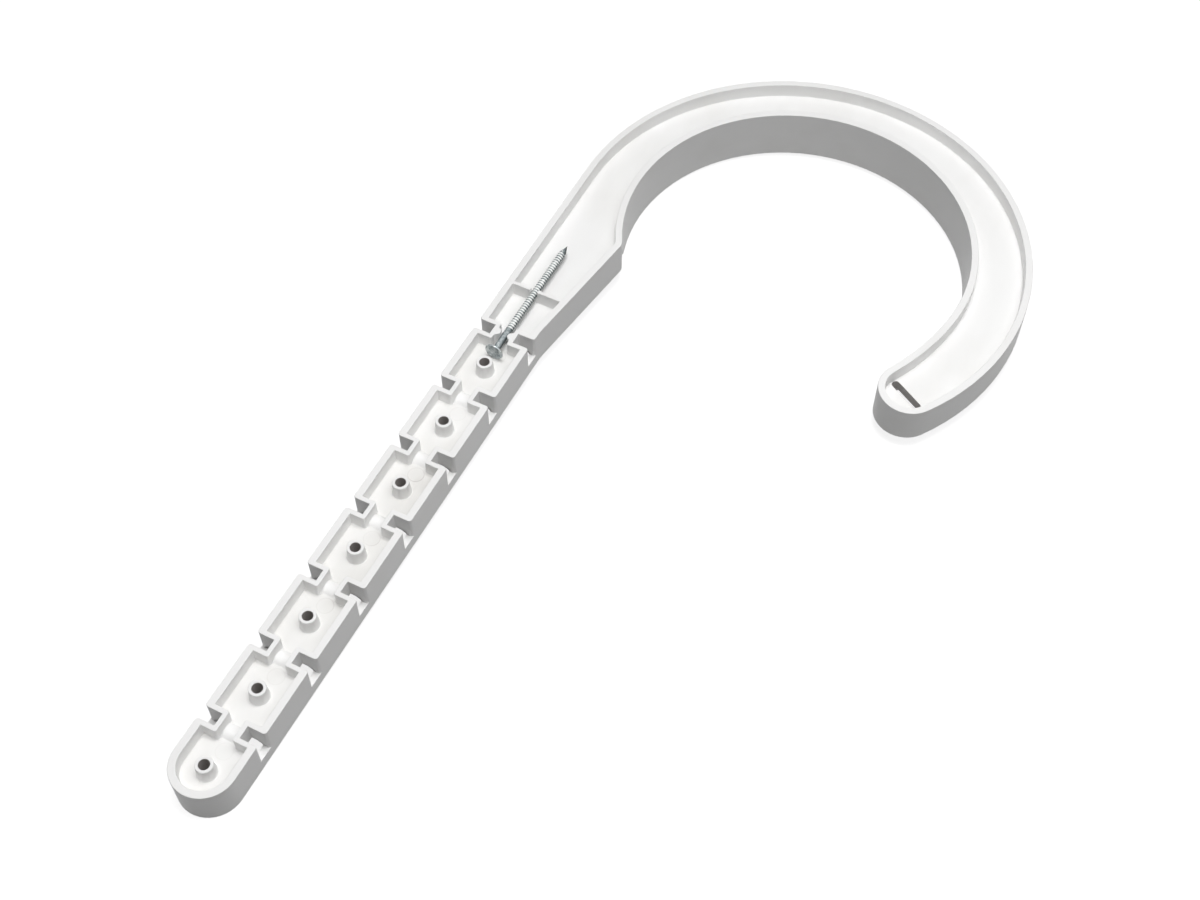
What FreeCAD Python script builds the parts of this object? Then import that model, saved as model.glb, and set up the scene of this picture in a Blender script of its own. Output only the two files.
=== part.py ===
import FreeCAD, Part
import math
import os
import Sketcher
from FreeCAD import Rotation, Vector

# Nail-on J-hook for a 4 inch drain pipe, moulded in one piece, with its own nail clipped in the stem.
# The hook lies on its back. The origin is on the pipe's axis, in the plane of the stem's back face.
# X runs along the stem towards the hook, Y across the stem, and Z out of the open front.

SIZES = (
    ("pipe_dia", 114.3, "outside diameter of the pipe, mm"),
    ("seat_clearance", 0.15, "room between pipe and seat, on the radius"),
    ("saddle_width", 18.2, "width of the seat along the pipe"),
    ("saddle_neck_angle", 110, "where the wide seat ends at the neck, degrees from +X"),
    ("saddle_round", 4, "rounded lower corners of the wide seat's ends"),
    ("lead_in", 10, "where the seat hands over to the tip, back from the pipe's axis"),
    ("band", 19.6, "seat to the outside of the hook, as radii"),
    ("outer_shift", 2.1, "centre of the outside arc, back from the pipe's axis"),
    ("outer_drop", 0.9, "centre of the outside arc, away from the stem"),
    ("nose_radius", 9.8, "round end of the tip"),
    ("nose_reach", 41, "centre of the round tip, back from the pipe's axis"),
    ("stem_width", 19.6, "outside width of the stem"),
    ("hook_drop", 91.6, "nearest nail hole to the pipe's axis, along the stem"),
    ("hole_pitch", 25.4, "one nail hole to the next"),
    ("hole_count", 7, "nail holes, one in each break-off length"),
    ("hole_dia", 3.2, "nail hole"),
    ("boss_dia", 5.1, "top of the round boss about a nail hole"),
    ("boss_base_dia", 5.9, "foot of that boss"),
    ("body_depth", 12.7, "front rim to the stem's back"),
    ("rim", 2.3, "thickness of the outer walls"),
    ("tray_depth", 5, "front rim to the floor of the tray"),
    ("web", 1.8, "thickness of the floor"),
    ("flare_gap", 1.6, "last break notch to where the neck starts to widen"),
    ("flare_bend", 25, "radius of that bend"),
    ("flare_angle", 8.3, "slope of the widening edge, degrees"),
    ("cusp_radius", 3.5, "rounded corner between neck and seat"),
    ("end_wall", 1.6, "wall across the stem at each break"),
    ("notch_width", 3.8, "break notch, along the stem"),
    ("notch_depth", 8.4, "break notch, down from the rim"),
    ("notch_round", 1, "rounded corners of a break notch at the outer faces"),
    ("ledge", 0.8, "floor left at the bottom of a break notch"),
    ("ledge_inset", 1.2, "edge of that floor, in from the outer face"),
    ("channel_width", 5.3, "passage between two lengths"),
    ("neck_wall", 1.5, "wall on each side of the passage"),
    ("passage_round", 0.7, "rounded corners at the passage's ends"),
    ("pad_length", 4.8, "rounded bar across the passage, along the stem"),
    ("pad_height", 1.2, "top of that bar above the floor"),
    ("rib_drop", 32.8, "nearest nail hole to the cross rib"),
    ("rib", 1.3, "thickness of the cross rib"),
    ("slot_length", 12.6, "slot through the tip, end to end"),
    ("slot_width", 2.6, "slot through the tip"),
    ("slot_angle", 60, "slot's direction, degrees from +X"),
    ("slot_shift", 1, "slot's middle, along it from the centre of the round tip"),
    ("slot_side", 0.3, "slot's middle, to the hook's side of that centre"),
    ("nail_length", 50, "nail, head and point included"),
    ("nail_dia", 2.4, "nail's shank"),
    ("nail_head_dia", 6.2, "nail's head"),
    ("nail_head", 0.9, "thickness of the head"),
    ("nail_point", 4.5, "length of the point"),
    ("nail_start", 5.65, "nearest nail hole to the outside of the head"),
    ("nail_sink", 1.8, "front rim down to the nail's axis"),
    ("nail_clearance", 0.05, "room about the nail where it is held"),
    ("nib_radius", 1.4, "round nibs that grip the shank"),
    ("overcut", 1, "how far a cut runs past the face it opens"),
)

doc = FreeCAD.newDocument("pipe_j_hook")
sheet = doc.addObject("Spreadsheet::Sheet", "size")
for row, (alias, number, note) in enumerate(SIZES, start=1):
    sheet.set("A%d" % row, note)
    sheet.set("B%d" % row, str(number))
    sheet.setAlias("B%d" % row, alias)
doc.recompute()


def size(alias):
    """A driving dimension, as the sheet holds it."""
    return float(sheet.get(alias))


def bind(target, **rules):
    """Ties properties to expressions on the sheet; an underscore in a name stands for a dot."""
    for name, rule in rules.items():
        target.setExpression(name.replace("_", "."), rule)
    return target


# Expressions that several pieces share
SEAT = "(size.pipe_dia / 2 + size.seat_clearance)"
OUTER = "(%s + size.band)" % SEAT
STEM_Y = "(%s - size.outer_drop - size.stem_width / 2)" % OUTER
FLOOR = "(size.body_depth - size.tray_depth)"
NAIL_Z = "(size.body_depth - size.nail_sink)"
BREAK = "(2 * size.end_wall + size.notch_width)"
NECK = "(size.channel_width + 2 * size.neck_wall)"
SADDLE_DROP = "(size.saddle_width - size.body_depth)"


def hole_x(number):
    """Place of a nail hole along the stem; hole 0 is the one nearest the hook."""
    return "(-size.hook_drop - %d * size.hole_pitch)" % number


def break_x(number):
    """Middle of the break that lies on the hook's side of a nail hole."""
    return "(%s + size.hole_pitch / 2)" % hole_x(number)


def box(name, length, width, height, x, y, z):
    """A block whose x and y are its middle and whose z is its bottom."""
    return bind(
        doc.addObject("Part::Box", name),
        Length=length, Width=width, Height=height,
        Placement_Base_x="%s - (%s) / 2" % (x, length),
        Placement_Base_y="%s - (%s) / 2" % (y, width),
        Placement_Base_z=z,
    )


def post(name, radius, height, x, y, z):
    """An upright cylinder."""
    return bind(
        doc.addObject("Part::Cylinder", name),
        Radius=radius, Height=height,
        Placement_Base_x=x, Placement_Base_y=y, Placement_Base_z=z,
    )


def rod(kind, name, height, x, **radii):
    """A round piece on the nail's axis, along X from the place given."""
    piece = bind(doc.addObject(kind, name), Height=height, **radii)
    piece.Placement = FreeCAD.Placement(Vector(), Rotation(Vector(0, 1, 0), 90))
    return bind(piece, Placement_Base_x=x, Placement_Base_y=STEM_Y, Placement_Base_z=NAIL_Z)


def join(name, shapes):
    """One shape from several that touch or overlap."""
    fused = doc.addObject("Part::MultiFuse", name)
    fused.Shapes = shapes
    fused.Refine = True
    return fused


def cut(name, base, tool):
    """The base less the tool."""
    result = doc.addObject("Part::Cut", name)
    result.Base = base
    result.Tool = tool
    result.Refine = True
    return result


def rounded(name, base, radius, chosen):
    """The base with the edges that a rule picks rounded off."""
    doc.recompute()
    result = doc.addObject("Part::Fillet", name)
    result.Base = base
    result.Edges = [
        (number, radius, radius) for number, edge in enumerate(base.Shape.Edges, start=1) if chosen(edge)
    ]
    return result


def near(one, other):
    return abs(one - other) < 0.001


def prism(name, profile, height, z):
    """A flat profile raised straight up from a given height."""
    solid = doc.addObject("Part::Extrusion", name)
    solid.Base = profile
    solid.DirMode = "Custom"
    solid.Dir = Vector(0, 0, 1)
    solid.Solid = True
    return bind(solid, LengthFwd=height, Placement_Base_z=z)


# Outline of the hook, seen from the front

def polar(centre, radius, angle):
    return centre + Vector(math.cos(angle), math.sin(angle)) * radius


def heading(start, end):
    return math.atan2(end.y - start.y, end.x - start.x)


def arc(centre, radius, start, end):
    """An arc that runs anticlockwise between two angles."""
    return Part.ArcOfCircle(Part.Circle(centre, Vector(0, 0, 1), radius), start, end)


def outline_sketch():
    """The closed edge of the moulding: stem, neck, seat, tip and outside arc, all tangent."""
    seat_radius = size("pipe_dia") / 2 + size("seat_clearance")
    half = size("stem_width") / 2
    outer_radius = seat_radius + size("band")
    middle = outer_radius - size("outer_drop") - half
    origin = Vector()
    end_centre = Vector(-size("hook_drop") - (size("hole_count") - 1) * size("hole_pitch"), middle)

    # The lower edge bends down at the neck and meets the seat at a rounded corner
    slope = math.radians(size("flare_angle"))
    last_notch = (size("hole_pitch") + size("notch_width")) / 2 - size("hook_drop")
    bend_start = Vector(last_notch + size("flare_gap"), middle - half)
    bend_centre = bend_start - Vector(0, size("flare_bend"))
    flare_start = polar(bend_centre, size("flare_bend"), math.pi / 2 - slope)
    along = Vector(math.cos(slope), -math.sin(slope))
    inward = Vector(math.sin(slope), math.cos(slope))
    corner = flare_start + inward * size("cusp_radius")
    corner_orbit = seat_radius + size("cusp_radius")
    nearest = -corner.dot(along)
    chord = math.sqrt(corner_orbit ** 2 - (corner + along * nearest).Length ** 2)
    cusp_centre = corner + along * (nearest - chord)

    # The tip's round end lies inside the outside arc, and a shallow arc leads from it into the seat
    outer_centre = Vector(-size("outer_shift"), -size("outer_drop"))
    nose_orbit = outer_radius - size("nose_radius")
    across = -size("nose_reach") - outer_centre.x
    nose_centre = Vector(-size("nose_reach"), outer_centre.y - math.sqrt(nose_orbit ** 2 - across ** 2))
    lead_angle = -math.acos(-size("lead_in") / seat_radius)
    lead_way = polar(origin, 1, lead_angle)
    tip_gap = seat_radius + size("nose_radius")
    lead_shift = (nose_centre.Length ** 2 - tip_gap ** 2) / (2 * (nose_centre.dot(lead_way) - tip_gap))
    lead_centre = lead_way * lead_shift
    lead_radius = seat_radius - lead_shift

    sketch = doc.addObject("Sketcher::SketchObject", "outline")
    end, right, bend, flare, cusp, seat, lead, nose, outer, left = sketch.addGeometry([
        arc(end_centre, half, math.pi / 2, 3 * math.pi / 2),
        Part.LineSegment(end_centre - Vector(0, half), bend_start),
        arc(bend_centre, size("flare_bend"), math.pi / 2 - slope, math.pi / 2),
        Part.LineSegment(flare_start, cusp_centre - inward * size("cusp_radius")),
        arc(cusp_centre, size("cusp_radius"), heading(inward, origin), heading(cusp_centre, origin)),
        arc(origin, seat_radius, lead_angle, heading(origin, cusp_centre)),
        arc(lead_centre, lead_radius, heading(lead_centre, nose_centre), lead_angle),
        arc(nose_centre, size("nose_radius"), heading(nose_centre, lead_centre),
            heading(outer_centre, nose_centre)),
        arc(outer_centre, outer_radius, heading(outer_centre, nose_centre), math.pi / 2),
        Part.LineSegment(outer_centre + Vector(0, outer_radius), end_centre + Vector(0, half)),
    ])
    first, last, centre = 1, 2, 3
    for one, at, other, to in (
        (end, last, right, first), (right, last, bend, last), (bend, first, flare, first),
        (flare, last, cusp, first), (cusp, last, seat, last), (seat, first, lead, last),
        (lead, first, nose, first), (nose, last, outer, first), (outer, last, left, first),
        (left, last, end, first),
    ):
        sketch.addConstraint(Sketcher.Constraint("Tangent", one, at, other, to))
    sketch.addConstraint(Sketcher.Constraint("Coincident", seat, centre, -1, 1))
    sketch.addConstraint(Sketcher.Constraint("Horizontal", left))
    sketch.addConstraint(Sketcher.Constraint("Horizontal", right))

    def dimension(name, rule, value, kind, *places):
        index = sketch.addConstraint(Sketcher.Constraint(kind, *places, value))
        sketch.renameConstraint(index, name)
        sketch.setExpression("Constraints." + name, rule)

    for name, rule, curve, value in (
        ("seat_radius", SEAT, seat, seat_radius),
        ("outer_radius", OUTER, outer, outer_radius),
        ("nose_radius", "size.nose_radius", nose, size("nose_radius")),
        ("cusp_radius", "size.cusp_radius", cusp, size("cusp_radius")),
        ("flare_bend", "size.flare_bend", bend, size("flare_bend")),
        ("end_radius", "size.stem_width / 2", end, half),
    ):
        dimension(name, rule, value, "Radius", curve)
    for name, rule, curve, at, value in (
        ("outer_shift", "size.outer_shift", outer, centre, size("outer_shift")),
        ("nose_reach", "size.nose_reach", nose, centre, size("nose_reach")),
        ("lead_in", "size.lead_in", seat, first, size("lead_in")),
        ("flare_reach", "size.hook_drop - (size.hole_pitch + size.notch_width) / 2 - size.flare_gap",
         right, last, -bend_start.x),
        ("end_reach", "size.hook_drop + (size.hole_count - 1) * size.hole_pitch",
         end, centre, -end_centre.x),
    ):
        dimension(name, rule, value, "DistanceX", curve, at, -1, 1)
    dimension("outer_drop", "size.outer_drop", size("outer_drop"), "DistanceY", outer, centre, -1, 1)
    dimension("flare_angle", "-size.flare_angle * 1 deg", -slope, "Angle", flare)
    return sketch


outline = outline_sketch()
inside = bind(doc.addObject("Part::Offset2D", "inside_of_rim"), Value="-size.rim")
inside.Source = outline

# Shell: a rim all round, a thin floor between the front tray and the hollow back
blank = prism("blank", outline, "size.body_depth", "0")
tray = prism("tray", inside, "size.tray_depth + size.overcut", FLOOR)
hollow = prism("hollow", inside, FLOOR + " - size.web + size.overcut", "-size.overcut")
shell = cut("shell", cut("open_front", blank, tray), hollow)

# Saddle: the seat's wall carried on past the back, from the tip's lead-in round to the neck
tip_angle = math.degrees(math.acos(-size("lead_in") / (size("pipe_dia") / 2 + size("seat_clearance"))))
sector = post("saddle_sector", SEAT + " + size.rim", SADDLE_DROP + " + " + FLOOR, "0", "0",
              "-" + SADDLE_DROP)
sector.Placement = FreeCAD.Placement(Vector(), Rotation(Vector(0, 0, 1), -tip_angle))
bind(sector, Angle="size.saddle_neck_angle + %.6f" % tip_angle)
pipe_room = post("pipe_room", SEAT, "size.saddle_width + 2 * size.overcut", "0", "0",
                 "-%s - size.overcut" % SADDLE_DROP)
saddle_bottom = size("body_depth") - size("saddle_width")
saddle = rounded(
    "saddle", cut("saddle_ring", sector, pipe_room), size("saddle_round"),
    lambda edge: near(edge.BoundBox.ZMax, saddle_bottom) and near(edge.Length, size("rim")),
)

# Stem: walls across it at each break, a passage through them over a low bar, and a boss at each hole
count = int(size("hole_count"))
stem_run = "(size.hole_pitch * size.hole_count)"
stem_middle = "((%s + %s) / 2)" % (break_x(0), break_x(count - 1))
walls = join("break_walls", [
    box("break_wall_%d" % n, BREAK, "size.stem_width - size.rim", "size.tray_depth + size.web / 2",
        break_x(n), STEM_Y, FLOOR + " - size.web / 2")
    for n in range(count)
])
passage = box("passage", stem_run, "size.channel_width", "size.tray_depth + size.overcut",
              stem_middle, STEM_Y, FLOOR)
bar_radius = "((size.pad_length ^ 2 / 4 + size.pad_height ^ 2) / (2 * size.pad_height))"
bar_width = "(size.channel_width + size.neck_wall)"
pads = []
for n in range(count):
    bar = doc.addObject("Part::Cylinder", "bar_%d" % n)
    bar.Placement = FreeCAD.Placement(Vector(), Rotation(Vector(1, 0, 0), -90))
    bind(bar, Radius=bar_radius, Height=bar_width, Placement_Base_x=break_x(n),
         Placement_Base_y="%s - %s / 2" % (STEM_Y, bar_width),
         Placement_Base_z="%s + size.pad_height - %s" % (FLOOR, bar_radius))
    pad = doc.addObject("Part::Common", "pad_%d" % n)
    pad.Base = bar
    pad.Tool = box("pad_block_%d" % n, "2 * size.pad_length", bar_width,
                   "2 * size.pad_height + size.web / 2", break_x(n), STEM_Y, FLOOR + " - size.web / 2")
    pads.append(pad)
bosses = [
    post("boss_foot_%d" % n, "size.boss_base_dia / 2", FLOOR, hole_x(n), STEM_Y, "0")
    for n in range(count)
] + [
    bind(doc.addObject("Part::Cone", "boss_%d" % n), Radius1="size.boss_base_dia / 2",
         Radius2="size.boss_dia / 2", Height="size.tray_depth", Placement_Base_x=hole_x(n),
         Placement_Base_y=STEM_Y, Placement_Base_z=FLOOR)
    for n in range(count)
]

# Neck: a cross rib with a groove for the nail, and two nibs that grip its shank at the last break
rib_x = "(size.rib_drop - size.hook_drop)"
rib_block = doc.addObject("Part::Common", "rib_block")
rib_block.Base = blank
rib_block.Tool = box("rib_slab", "size.rib", "2 * size.stem_width", "size.tray_depth + size.web / 2",
                     rib_x, STEM_Y, FLOOR + " - size.web / 2")
groove = join("nail_groove", [
    rod("Part::Cylinder", "groove_round", "3 * size.rib", rib_x + " - 1.5 * size.rib",
        Radius="size.nail_dia / 2 + size.nail_clearance"),
    box("groove_mouth", "3 * size.rib", "size.nail_dia + 2 * size.nail_clearance",
        "size.nail_sink + size.overcut", rib_x, STEM_Y, NAIL_Z),
])
rib = cut("cross_rib", rib_block, groove)
nibs = [
    post("nib_" + side, "size.nib_radius", "size.tray_depth + size.web / 2", break_x(0),
         STEM_Y + " %s (size.nail_dia / 2 + size.nail_clearance + size.nib_radius)" % sign,
         FLOOR + " - size.web / 2")
    for side, sign in (("left", "+"), ("right", "-"))
]

# Openings: the break notches on both sides of the passage, the nail holes and the slot in the tip
notches = cut(
    "break_notches",
    join("notch_rows", [
        box("notch_%d" % n, "size.notch_width", "size.stem_width + 2 * size.overcut",
            "size.notch_depth + size.overcut", break_x(n), STEM_Y,
            "size.body_depth - size.notch_depth")
        for n in range(count)
    ]),
    join("kept_in_notches", [
        box("passage_walls", stem_run, NECK, "size.body_depth + 2 * size.overcut",
            stem_middle, STEM_Y, "-size.overcut"),
        box("ledges", stem_run, "size.stem_width - 2 * size.ledge_inset", "size.ledge",
            stem_middle, STEM_Y, FLOOR + " - size.ledge"),
    ]),
)
holes = [
    post("hole_%d" % n, "size.hole_dia / 2", "size.body_depth + 2 * size.overcut", hole_x(n),
         STEM_Y, "-size.overcut")
    for n in range(count)
]
slot_run = "(size.slot_length - size.slot_width)"
slot_height = "size.web + 2 * size.overcut"
slot = join("tip_slot", [
    box("slot_middle", slot_run, "size.slot_width", slot_height,
        "size.slot_shift", "-size.slot_side", "0"),
    post("slot_inner_end", "size.slot_width / 2", slot_height,
         "size.slot_shift + %s / 2" % slot_run, "-size.slot_side", "0"),
    post("slot_outer_end", "size.slot_width / 2", slot_height,
         "size.slot_shift - %s / 2" % slot_run, "-size.slot_side", "0"),
])
slot.Placement = FreeCAD.Placement(Vector(), Rotation(Vector(0, 0, 1), size("slot_angle")))
bind(
    slot,
    Placement_Base_x="-size.nose_reach",
    Placement_Base_y="-size.outer_drop - sqrt((%s - size.nose_radius) ^ 2"
    " - (size.nose_reach - size.outer_shift) ^ 2)" % OUTER,
    Placement_Base_z=FLOOR + " - size.web - size.overcut",
)

moulding = join("moulding", [shell, saddle, cut("open_walls", walls, passage), rib] + pads + nibs + bosses)
pierced = cut("pierced", moulding, join("openings", [notches, slot] + holes))
doc.recompute()
stem_y = holes[0].Placement.Base.y


def upright_at(edge, distance):
    """Whether an edge stands upright at that distance from the stem's middle line, clear of the back."""
    span = edge.BoundBox
    upright = near(span.XLength, 0) and near(span.YLength, 0) and near(span.ZMax, size("body_depth"))
    return upright and near(abs(span.YMin - stem_y), distance)


eased = rounded("eased_notches", pierced, size("notch_round"),
                lambda edge: upright_at(edge, size("stem_width") / 2))
hook = rounded("j_hook", eased, size("passage_round"),
               lambda edge: upright_at(edge, size("channel_width") / 2))

# Nail: it lies along the stem's middle line with its head in the last length
nail_x = "(size.nail_start - size.hook_drop)"
nail = join("nail", [
    rod("Part::Cylinder", "nail_head", "size.nail_head", nail_x, Radius="size.nail_head_dia / 2"),
    rod("Part::Cylinder", "nail_shank", "size.nail_length - size.nail_point", nail_x,
        Radius="size.nail_dia / 2"),
    rod("Part::Cone", "nail_point", "size.nail_point", nail_x + " + size.nail_length - size.nail_point",
        Radius1="size.nail_dia / 2", Radius2="0"),
])

# Check every step, then write one file for each piece
doc.recompute()
assert outline.FullyConstrained, "the outline is not fully constrained"
for step in doc.Objects:
    faults = [word for word in step.State if word in ("Invalid", "Error")]
    assert not faults, "%s: %s" % (step.Name, faults)
    if hasattr(step, "Shape"):
        assert not step.Shape.isNull() and step.Shape.isValid(), step.Name + " has no valid shape"
os.makedirs("parts", exist_ok=True)
for piece in (hook, nail):
    assert len(piece.Shape.Solids) == 1, piece.Name + " is not one solid"
    piece.Label = piece.Name
    piece.Shape.exportStep("parts/%s.step" % piece.Name)
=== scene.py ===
import math

import bmesh
import bpy
from mathutils import Matrix, Vector


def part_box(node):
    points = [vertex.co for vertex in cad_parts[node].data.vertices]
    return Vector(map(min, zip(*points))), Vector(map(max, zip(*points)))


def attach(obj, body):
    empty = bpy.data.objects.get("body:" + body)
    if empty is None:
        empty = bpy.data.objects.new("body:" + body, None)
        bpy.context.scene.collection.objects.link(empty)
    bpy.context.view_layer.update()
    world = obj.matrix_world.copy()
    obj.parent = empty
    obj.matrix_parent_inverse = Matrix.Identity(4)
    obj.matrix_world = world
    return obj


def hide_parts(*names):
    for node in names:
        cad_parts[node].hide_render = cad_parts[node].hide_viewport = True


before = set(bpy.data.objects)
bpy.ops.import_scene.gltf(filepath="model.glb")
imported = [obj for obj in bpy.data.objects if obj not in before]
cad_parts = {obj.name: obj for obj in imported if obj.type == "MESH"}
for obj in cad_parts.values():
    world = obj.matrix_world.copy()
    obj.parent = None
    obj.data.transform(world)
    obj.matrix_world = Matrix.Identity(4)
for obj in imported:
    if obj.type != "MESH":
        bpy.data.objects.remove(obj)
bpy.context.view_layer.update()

# Hook: one injection-moulded piece of white plastic, open as a tray in front and hollow behind.
# The mould leaves every edge a little soft, so the piece is the solid with its sharp edges rounded.
# It is nailed up through the holes in its stem and carries a pipe in its round seat.
TRAY_FLOOR = 0.0077
STEM_MIDDLE = 0.0662
TOUCH = 1e-5

moulding = bmesh.new()
moulding.from_mesh(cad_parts["j_hook"].data)

# The notches are open to the back, so the edge of their thin floor goes in to the passage wall
STEM_TOP = -0.07
LEDGE_THICKNESS = 0.0008
LEDGE_EDGE = 0.0086
PASSAGE_WALL = 0.00415
ledge_height = TRAY_FLOOR - LEDGE_THICKNESS / 2
for corner in moulding.verts:
    side = corner.co.y - STEM_MIDDLE
    at_ledge = abs(corner.co.z - ledge_height) < LEDGE_THICKNESS / 2 + TOUCH
    if at_ledge and corner.co.x < STEM_TOP and abs(abs(side) - LEDGE_EDGE) < TOUCH:
        corner.co.y = STEM_MIDDLE + math.copysign(PASSAGE_WALL, side)

# Light shows through the slot in the tip up to its end, so the hidden wall beside it is thinner
TIP_CENTRE = Vector((-0.04099, -0.05559, 0))
TIP_WALL = 0.0075
TIP_WALL_MARGIN = 0.0002
INSIDE_FLOOR = TRAY_FLOOR - 0.001
SLOT_MIDDLE = Vector((-0.04024, -0.05486, 0))
SLOT_ANGLE = math.radians(60)
SLOT_RUN = 0.010
SLOT_HALF = 0.0013
WALL_TAKEN = 0.0011
WALL_REACH = math.radians(40)
slot_line = Vector((math.cos(SLOT_ANGLE), math.sin(SLOT_ANGLE), 0))


def in_slot(point):
    """Whether a point lies in the slot or on its wall, seen from above."""
    offset = Vector((point.x, point.y, 0)) - SLOT_MIDDLE
    along = max(-SLOT_RUN / 2, min(SLOT_RUN / 2, offset.dot(slot_line)))
    return (offset - slot_line * along).length < SLOT_HALF + 2 * TOUCH


for corner in moulding.verts:
    offset = Vector((corner.co.x, corner.co.y, 0)) - TIP_CENTRE
    on_wall = abs(offset.length - TIP_WALL) < TIP_WALL_MARGIN and corner.co.z < INSIDE_FLOOR
    if on_wall and offset.angle(slot_line) < WALL_REACH and not in_slot(corner.co):
        corner.co += offset.normalized() * WALL_TAKEN

# A thin collar goes on down from the slot's wall in the hollow back; its inner wall, painted dark with
# the slot, stands in for the shade in the hollow seen through the slot
COLLAR_WALL = 0.001
COLLAR_TOP = 0.0062
COLLAR_FOOT = 0.0043
COLLAR_SIDES = 32
collar = bmesh.new()
half_step = Matrix.Rotation(math.pi / COLLAR_SIDES, 4, "Z")
for radius in (SLOT_HALF + TOUCH, SLOT_HALF + COLLAR_WALL):
    circle = bmesh.ops.create_circle(collar, segments=COLLAR_SIDES, radius=radius, matrix=half_step)
    for corner in circle["verts"]:
        corner.co.x += math.copysign(SLOT_RUN / 2, corner.co.x)
bmesh.ops.bridge_loops(collar, edges=collar.edges)
deep = bmesh.ops.extrude_face_region(collar, geom=collar.faces[:])
foot = [part for part in deep["geom"] if isinstance(part, bmesh.types.BMVert)]
bmesh.ops.translate(collar, verts=foot, vec=(0, 0, COLLAR_FOOT - COLLAR_TOP))
bmesh.ops.recalc_face_normals(collar, faces=collar.faces)
under_slot = Matrix.Translation(SLOT_MIDDLE + Vector((0, 0, COLLAR_TOP)))
bmesh.ops.transform(
    collar, verts=collar.verts, matrix=under_slot @ Matrix.Rotation(SLOT_ANGLE, 4, "Z"),
)
collar_mesh = bpy.data.meshes.new("slot_collar")
collar.to_mesh(collar_mesh)
collar.free()
moulding.from_mesh(collar_mesh)
bpy.data.meshes.remove(collar_mesh)

# All sharp edges are rounded but those low in the notches and round the slot, which lie too close
EDGE_RADIUS = 0.00022
SHARP = math.radians(32)
CREASE = math.radians(50)
FLAT = math.radians(0.4)
SAME_POINT = 2e-6
NOTCH_FOOT = 0.0042
NOTCH_TOP = TRAY_FLOOR - 0.0001
bmesh.ops.remove_doubles(moulding, verts=moulding.verts, dist=SAME_POINT)
bmesh.ops.dissolve_limit(moulding, angle_limit=FLAT, verts=moulding.verts, edges=moulding.edges)
sharp_edges = [
    e for e in moulding.edges
    if e.calc_face_angle() > SHARP
    and not any(NOTCH_FOOT < v.co.z < NOTCH_TOP for v in e.verts)
    and not all(in_slot(v.co) for v in e.verts)
]
bmesh.ops.bevel(
    moulding, geom=sharp_edges, offset=EDGE_RADIUS, offset_type="OFFSET", segments=2,
    profile=0.5, affect="EDGES", clamp_overlap=False, material=-1,
)
for face in moulding.faces:
    face.smooth = True
for edge in moulding.edges:
    edge.smooth = edge.calc_face_angle(0) < CREASE
hook_mesh = bpy.data.meshes.new("hook_moulding")
moulding.to_mesh(hook_mesh)
moulding.free()
hook = bpy.data.objects.new("hook_moulding", hook_mesh)
bpy.context.collection.objects.link(hook)
even = hook.modifiers.new("flat_faces_stay_flat", "WEIGHTED_NORMAL")
even.mode = "FACE_AREA"
even.weight = 50
even.keep_sharp = True


class Shade:
    """A value in a material. Arithmetic on it adds Math nodes, and node() adds any other node."""

    def __init__(self, tree, socket=None):
        self.tree = tree
        self.socket = socket

    def node(self, kind, settings=None, inputs=None, out=0):
        made = self.tree.nodes.new(kind)
        for name, value in (settings or {}).items():
            if name == "stops":
                while len(made.color_ramp.elements) < len(value):
                    made.color_ramp.elements.new(0.5)
                for element, (place, colour) in zip(made.color_ramp.elements, value):
                    element.position = place
                    element.color = (*colour, 1)
            else:
                setattr(made, name, value)
        for name, value in (inputs or {}).items():
            if isinstance(value, Shade):
                self.tree.links.new(value.socket, made.inputs[name])
            else:
                made.inputs[name].default_value = value
        return Shade(self.tree, made.outputs[out] if made.outputs else None)

    def math(self, operation, *values):
        return self.node("ShaderNodeMath", {"operation": operation}, dict(enumerate(values)))

    def __add__(self, other):
        return self.math("ADD", self, other)

    def __radd__(self, other):
        return self.math("ADD", other, self)

    def __sub__(self, other):
        return self.math("SUBTRACT", self, other)

    def __rsub__(self, other):
        return self.math("SUBTRACT", other, self)

    def __mul__(self, other):
        return self.math("MULTIPLY", self, other)

    def __rmul__(self, other):
        return self.math("MULTIPLY", other, self)


def new_material(name):
    """An empty node material and the place where its expressions start."""
    material = bpy.data.materials.new(name)
    material.use_nodes = True
    material.node_tree.nodes.clear()
    return material, Shade(material.node_tree)


HOLE_PITCH = 0.0254
FIRST_HOLE = -0.0916
BORE_RADIUS = 0.00163
FIRST_PIN = -0.0845
PIN_SIDE = -0.0006
PIN_RADIUS = 0.0025
PIN_EDGE = 0.00022
TRAYS_FROM = -0.0805
FLOOR_MARGIN = 0.0003
FACING_UP = 0.9


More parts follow.
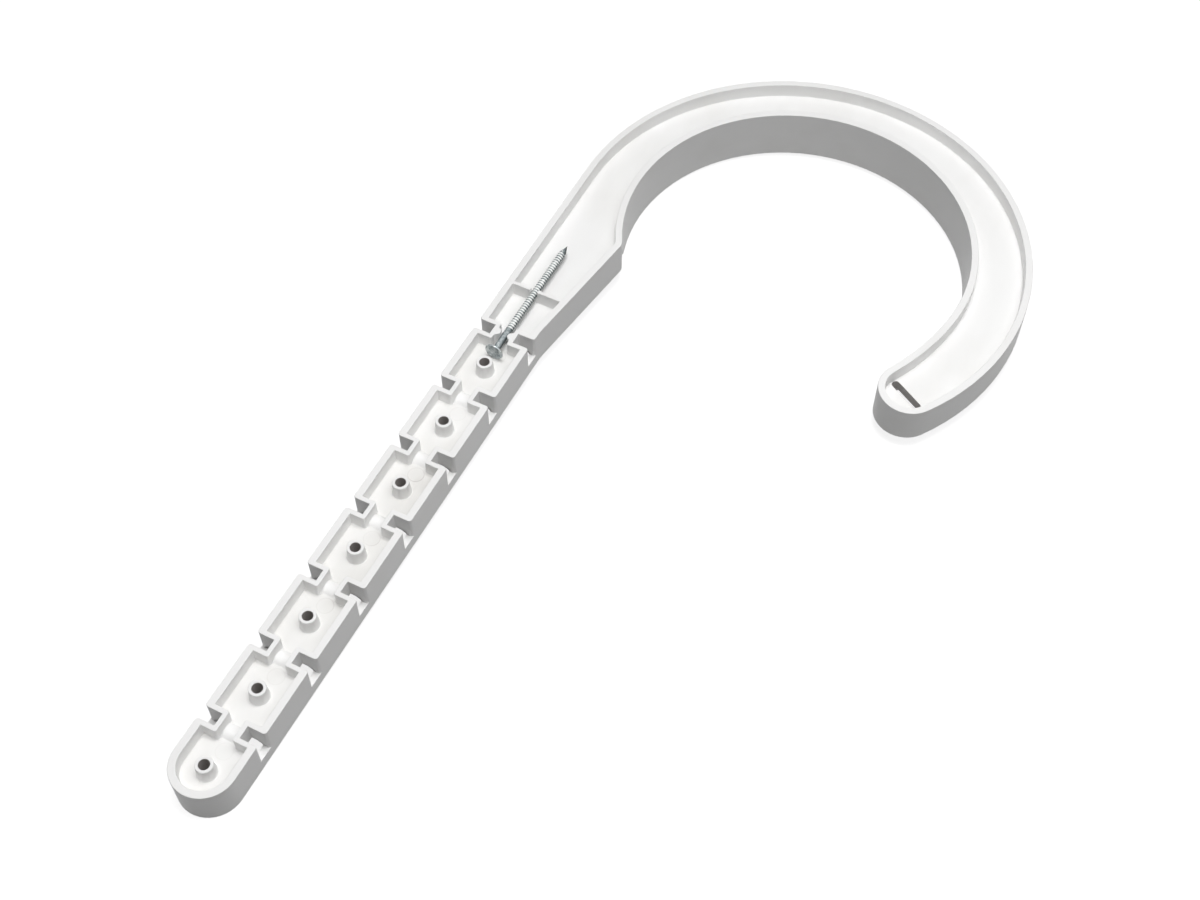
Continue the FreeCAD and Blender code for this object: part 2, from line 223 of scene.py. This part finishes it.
def white_plastic():
    """Satin white plastic: faint flow marks, a fine mould grain and the round marks of ejector pins,
    with painted shade on the open floors and in the nail holes and slot.
    """
    material, make = new_material("white_plastic")
    place = make.node("ShaderNodeTexCoord", out="Object")
    x, y, z = (make.node("ShaderNodeSeparateXYZ", inputs={"Vector": place}, out=axis) for axis in "XYZ")

    # Painted shade: the open floors are painted darker than the rims, most of all in the trays of the
    # stem
    facing = make.node("ShaderNodeTexCoord", out="Normal")
    upward = make.node("ShaderNodeSeparateXYZ", inputs={"Vector": facing}, out="Z")
    level = make.math("COMPARE", z, TRAY_FLOOR, FLOOR_MARGIN)
    on_floor = level * make.math("GREATER_THAN", upward, FACING_UP)
    in_trays = make.math("LESS_THAN", x, TRAYS_FROM)
    tray_floor = on_floor * in_trays

    # One pin mark on the floor of each tray, on the hook's side of the nail hole
    along = make.math("PINGPONG", x - FIRST_PIN, HOLE_PITCH / 2)
    across = y - (STEM_MIDDLE + PIN_SIDE)
    reach = make.math("SQRT", along * along + across * across)
    edge = 1 - make.math("MINIMUM", make.math("ABSOLUTE", reach - PIN_RADIUS) * (1 / PIN_EDGE), 1.0)
    ring = edge * tray_floor
    disc = make.math("LESS_THAN", reach, PIN_RADIUS) * tray_floor

    # Painted shade: the walls in the nail holes and in the slot are painted dark, where shade falls in
    # them
    from_hole = make.math("PINGPONG", x - FIRST_HOLE, HOLE_PITCH / 2)
    off_middle = y - STEM_MIDDLE
    radius = make.math("SQRT", from_hole * from_hole + off_middle * off_middle)
    bore = make.math("LESS_THAN", radius, BORE_RADIUS) * in_trays
    slot_x, slot_y = x - SLOT_MIDDLE.x, y - SLOT_MIDDLE.y
    slot_along = slot_x * slot_line.x + slot_y * slot_line.y
    slot_across = slot_y * slot_line.x - slot_x * slot_line.y
    past_end = make.math("MAXIMUM", make.math("ABSOLUTE", slot_along) - SLOT_RUN / 2, 0.0)
    from_slot = make.math("SQRT", past_end * past_end + slot_across * slot_across)
    painted_recess_shade = make.math("MAXIMUM", bore, make.math("LESS_THAN", from_slot, SLOT_HALF + 5 * TOUCH))

    # Flow marks run along the hook, clouds lie across it, and the grain is the mould's own
    flow = make.node("ShaderNodeMapping", inputs={"Vector": place, "Scale": (18, 55, 55)})
    streaks = make.node("ShaderNodeTexNoise", inputs={
        "Vector": flow, "Scale": 1.0, "Detail": 4.0, "Roughness": 0.55,
    })
    cloud = make.node("ShaderNodeTexNoise", inputs={"Vector": place, "Scale": 38.0, "Detail": 2.0})
    grain = make.node("ShaderNodeTexNoise", inputs={"Vector": place, "Scale": 2600.0, "Detail": 2.0})
    # Painted shade on the open floors, deeper in the trays, and in the holes and slot, with the real pin
    # marks
    marks = on_floor * 0.06 + tray_floor * 0.22 + ring * 0.1 + disc * 0.02 + painted_recess_shade
    colour = make.node("ShaderNodeValToRGB", {"stops": [
        (0.0, (0.5, 0.475, 0.46)), (0.12, (0.765, 0.757, 0.735)), (0.3, (0.85, 0.845, 0.832)),
        (0.5, (0.902, 0.9, 0.894)), (0.75, (0.918, 0.916, 0.911)),
    ]}, {"Fac": streaks * 0.6 + cloud * 0.4 - marks})
    rough = 0.36 + streaks * 0.12 + grain * 0.06
    height = grain * 0.25 + streaks * 0.5 + cloud * 0.5 - ring * 0.4 - disc * 0.15
    bump = make.node("ShaderNodeBump", inputs={"Height": height, "Strength": 0.35, "Distance": 0.00006})
    shader = make.node("ShaderNodeBsdfPrincipled", inputs={
        "Base Color": colour, "Roughness": rough, "Normal": bump, "IOR": 1.49,
    })
    make.node("ShaderNodeOutputMaterial", inputs={"Surface": shader})
    return material


hook_mesh.materials.append(white_plastic())
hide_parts("j_hook")
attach(hook, "root")

# Nail: zinc-plated steel wire with a forged flat head, a rolled ring shank and a cut point.
# It lies along the stem, gripped by two nibs and lying in the groove of the cross rib.
nail_low, nail_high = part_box("nail")
nail_y = (nail_low[1] + nail_high[1]) / 2
nail_z = (nail_low[2] + nail_high[2]) / 2
NAIL_LENGTH = nail_high[0] - nail_low[0]
HEAD_RADIUS = (nail_high[1] - nail_low[1]) / 2
HEAD_THICKNESS = 0.0009
SHANK_RADIUS = 0.00115
CREST_RADIUS = 0.00119
ROOT_RADIUS = 0.00094
RING_PITCH = 0.001
RING_RISE, RING_CREST, RING_FALL = 0.25, 0.55, 0.92
RINGS_FROM = 0.0103
POINT_LENGTH = 0.0045
POINT_FACES = 4
NAIL_SIDES = 28
NAIL_CREASE = math.radians(38)
SLIVER = 3e-6
POLE_GAP = 1e-7

profile = [
    (0.00000, 0.0), (0.00002, HEAD_RADIUS - 0.0004), (0.00016, HEAD_RADIUS - 0.0001),
    (0.00042, HEAD_RADIUS), (0.00066, HEAD_RADIUS - 0.0001), (HEAD_THICKNESS, HEAD_RADIUS - 0.0005),
    (HEAD_THICKNESS + 0.0001, SHANK_RADIUS + 0.0005), (HEAD_THICKNESS + 0.0006, SHANK_RADIUS),
    (RINGS_FROM - 0.0004, SHANK_RADIUS),
]
station = RINGS_FROM
rings_end = NAIL_LENGTH - POINT_LENGTH * 0.8
while station + RING_PITCH < rings_end:
    profile += [
        (station, ROOT_RADIUS), (station + RING_PITCH * RING_RISE, CREST_RADIUS),
        (station + RING_PITCH * RING_CREST, CREST_RADIUS),
        (station + RING_PITCH * RING_FALL, ROOT_RADIUS + 0.00002),
    ]
    station += RING_PITCH
profile += [(station, ROOT_RADIUS), (station + RING_PITCH * RING_RISE, SHANK_RADIUS)]
profile += [(NAIL_LENGTH, SHANK_RADIUS), (NAIL_LENGTH, 0.0)]

wire = bmesh.new()
line = [wire.verts.new((along, radius, 0)) for along, radius in profile]
edges = [wire.edges.new(pair) for pair in zip(line, line[1:])]
bmesh.ops.spin(
    wire, geom=line + edges, cent=(0, 0, 0), axis=(1, 0, 0), angle=math.tau, steps=NAIL_SIDES,
    use_merge=True, use_duplicate=False,
)
bmesh.ops.remove_doubles(wire, verts=wire.verts, dist=POLE_GAP)
point_tilt = math.atan2(SHANK_RADIUS, POINT_LENGTH)
for turn in range(POINT_FACES):
    around = Matrix.Rotation(math.radians(45 + 90 * turn), 3, "X")
    away = around @ Vector((math.sin(point_tilt), 0, math.cos(point_tilt)))
    bmesh.ops.bisect_plane(
        wire, geom=wire.verts[:] + wire.edges[:] + wire.faces[:], plane_co=(NAIL_LENGTH, 0, 0),
        plane_no=away, clear_outer=True,
    )
    bmesh.ops.contextual_create(wire, geom=[e for e in wire.edges if e.is_boundary])
bmesh.ops.dissolve_degenerate(wire, edges=wire.edges, dist=SLIVER)
bmesh.ops.recalc_face_normals(wire, faces=wire.faces)
bmesh.ops.translate(wire, verts=wire.verts, vec=(nail_low[0], nail_y, nail_z))
nail_mesh = bpy.data.meshes.new("ring_shank_nail")
wire.to_mesh(nail_mesh)
wire.free()
nail_mesh.shade_smooth()
nail_mesh.set_sharp_from_angle(angle=NAIL_CREASE)
nail = bpy.data.objects.new("ring_shank_nail", nail_mesh)
bpy.context.collection.objects.link(nail)


def zinc_plate():
    """Bright zinc on steel wire: a cool grey with lighter and duller patches and fine drawing lines,
    with painted shade in the ring grooves, on the lower half and on the smooth shank, and the ringed
    part painted lighter as a highlight.
    """
    material, make = new_material("zinc_plate")
    place = make.node("ShaderNodeTexCoord", out="Object")
    x, y, z = (make.node("ShaderNodeSeparateXYZ", inputs={"Vector": place}, out=axis) for axis in "XYZ")

    # Painted shade: darker colour in the grooves of the rings and on the lower half of the shank, where
    # shade falls
    across, up = y - nail_y, z - nail_z
    reach = make.math("SQRT", across * across + up * up)
    depth = (CREST_RADIUS - reach) * (1 / (CREST_RADIUS - ROOT_RADIUS))
    behind_head = make.math("GREATER_THAN", x, nail_low[0] + HEAD_THICKNESS)
    past_smooth = make.math("GREATER_THAN", x, nail_low[0] + RINGS_FROM)
    ringed = past_smooth * make.math("LESS_THAN", x, nail_high[0] - POINT_LENGTH * 0.7)
    groove = make.math("MINIMUM", make.math("MAXIMUM", depth, 0.0), 1.0) * ringed
    painted_lower_shade = make.math("MAXIMUM", 0.6 - up * (1 / CREST_RADIUS), 0.0)
    painted_lower_shade = make.math("MINIMUM", painted_lower_shade, 0.55) * behind_head
    smooth = behind_head - ringed

    # Fine lines from the drawing of the wire, and the cloudy patches of the plating
    stretched = make.node("ShaderNodeMapping", inputs={"Vector": place, "Scale": (120, 2600, 2600)})
    drawn = make.node("ShaderNodeTexNoise", inputs={"Vector": stretched, "Scale": 1.0, "Detail": 3.0})
    patch = make.node("ShaderNodeTexNoise", inputs={
        "Vector": place, "Scale": 620.0, "Detail": 4.0, "Roughness": 0.65,
    })
    # Painted highlight on the ringed part and painted shade on the smooth shank by the head, which lies
    # in the passage
    tone = patch * 0.8 + drawn * 0.2 + ringed * 0.3 - groove * 0.45 - painted_lower_shade * 0.9 - smooth * 0.07
    colour = make.node("ShaderNodeValToRGB", {"stops": [
        (0.1, (0.1, 0.115, 0.115)), (0.38, (0.2, 0.235, 0.245)), (0.5, (0.4, 0.44, 0.45)),
        (0.7, (0.9, 0.915, 0.9)),
    ]}, {"Fac": tone})
    rough = 0.26 + patch * 0.2 + groove * 0.2
    bump = make.node("ShaderNodeBump", inputs={
        "Height": drawn * 0.5 + patch, "Strength": 0.4, "Distance": 0.00004,
    })
    shader = make.node("ShaderNodeBsdfPrincipled", inputs={
        "Base Color": colour, "Metallic": 0.6, "Roughness": rough, "Normal": bump,
    })
    make.node("ShaderNodeOutputMaterial", inputs={"Surface": shader})
    return material


nail_mesh.materials.append(zinc_plate())
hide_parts("nail")
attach(nail, "root")

# Floor: a plain white sheet. The hook lies on the wide seat and on the stem's free end, so the sheet
# slopes by the small angle at which the real hook would come to rest.
FLOOR_HALF = 6.0
SLOPE_X = -0.023258
SLOPE_Y = -0.002024
FLOOR_AT_ORIGIN = -0.00577
sheet = bmesh.new()
bmesh.ops.create_grid(sheet, x_segments=1, y_segments=1, size=FLOOR_HALF)
for corner in sheet.verts:
    corner.co.z = FLOOR_AT_ORIGIN + SLOPE_X * corner.co.x + SLOPE_Y * corner.co.y
floor_mesh = bpy.data.meshes.new("floor")
sheet.to_mesh(floor_mesh)
sheet.free()
floor = bpy.data.objects.new("floor", floor_mesh)
bpy.context.collection.objects.link(floor)


def seen_as_background(make):
    """1 where the camera sees a thing straight, in a mirror or through glass; 0 where it only lights."""
    camera_ray, glossy_ray, clear_ray = (
        make.node("ShaderNodeLightPath", out="Is %s Ray" % kind)
        for kind in ("Camera", "Glossy", "Transmission")
    )
    return make.math("MAXIMUM", make.math("MAXIMUM", camera_ray, glossy_ray), clear_ray)


def white_sheet():
    """White where it is seen, with the hook's soft shadow, and a plain pale sheet to the light."""
    material, make = new_material("white_sheet")
    # The lamps reach little of the sheet far from the hook, so there it glows a little more
    place = make.node("ShaderNodeTexCoord", out="Object")
    away = make.node("ShaderNodeVectorMath", {"operation": "LENGTH"}, {0: place}, out="Value")
    whiteness = make.node("ShaderNodeMapRange", inputs={
        "Value": away, "From Min": 0.5, "From Max": 2.0, "To Min": 0.84, "To Max": 1.0,
    })
    glow = make.node("ShaderNodeEmission", inputs={"Color": whiteness, "Strength": 1.0})
    shaded = make.node("ShaderNodeBsdfDiffuse", inputs={"Color": (0.3, 0.3, 0.3, 1)})
    paper = make.node("ShaderNodeBsdfDiffuse", inputs={"Color": (0.28, 0.28, 0.28, 1)})
    white = make.node("ShaderNodeAddShader", inputs={0: glow, 1: shaded})
    mix = make.node("ShaderNodeMixShader", inputs={0: seen_as_background(make), 1: paper, 2: white})
    make.node("ShaderNodeOutputMaterial", inputs={"Surface": mix})
    return material


floor_mesh.materials.append(white_sheet())

# Light: a large soft box high overhead, a small one over the hook's mouth and a dim even surround.
# The sheet throws a little light back up on the walls.
HOOK_MIDDLE = Vector((-0.08, 0.02, 0))


def soft_box(name, place, size, power):
    """A round lamp of this size in metres and power in watts, turned to the middle of the hook."""
    lamp = bpy.data.lights.new(name, "AREA")
    lamp.shape = "DISK"
    lamp.size = size
    lamp.energy = power
    lamp_object = bpy.data.objects.new(name, lamp)
    lamp_object.location = place
    aim = HOOK_MIDDLE - Vector(place)
    lamp_object.rotation_euler = aim.to_track_quat("-Z", "Y").to_euler()
    bpy.context.collection.objects.link(lamp_object)


soft_box("key_box", (0.0, 0.0, 2.2), 1.0, 30)
soft_box("mouth_box", (-0.13, -0.11, 0.36), 0.3, 0.47)

surround = bpy.data.worlds.new("surround")
surround.use_nodes = True
surround.node_tree.nodes.clear()
make = Shade(surround.node_tree)
dim = make.node("ShaderNodeBackground", inputs={"Color": (1, 1, 1, 1), "Strength": 0.1})
bright = make.node("ShaderNodeBackground", inputs={"Color": (1, 1, 1, 1), "Strength": 1.0})
both = make.node("ShaderNodeMixShader", inputs={0: seen_as_background(make), 1: dim, 2: bright})
make.node("ShaderNodeOutputWorld", inputs={"Surface": both})
bpy.context.scene.world = surround
bpy.context.scene.view_settings.view_transform = "Standard"

# Camera: it stands at the stem's free end, to the right of it, and looks down along the hook.
# Its place, turn and lens are those at which the nail holes and the seat lie as in the photograph.
camera = bpy.data.cameras.new("camera")
camera.sensor_fit = "HORIZONTAL"
camera.sensor_width = 36.0
camera.lens = 51.194
camera_object = bpy.data.objects.new("camera", camera)
camera_object.location = (-0.36754, -0.11460, 0.43189)
camera_object.rotation_euler = (math.radians(35.0766), math.radians(-0.0479), math.radians(-62.9735))
bpy.context.collection.objects.link(camera_object)
bpy.context.scene.camera = camera_object
